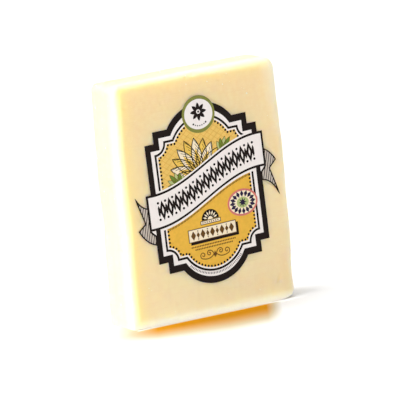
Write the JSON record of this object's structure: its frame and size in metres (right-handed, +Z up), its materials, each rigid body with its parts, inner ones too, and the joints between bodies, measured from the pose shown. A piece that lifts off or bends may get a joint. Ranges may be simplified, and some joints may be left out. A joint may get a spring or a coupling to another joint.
{
  "type": "cheddar block",
  "caption": "Flat rectangular block of pale cheddar standing on a short edge, softly rounded, with a die-cut paper label on its front.",
  "frame": {"origin": "middle of the footprint on the table, under the block", "axes": "+Z up along the block's height, +X to the right as the label is read, -Y out of the labelled front"},
  "size_m": [0.0842, 0.024, 0.1083],
  "materials": {
    "cheese": "smooth, slightly waxy cut cheese that lets some light through",
    "label_paper": "semi-gloss printed paper with black, white, gold and green fields"
  },
  "bodies": {
    "root": {"cheese_block": "cheese", "label": "label_paper"}
  },
  "joints": []
}
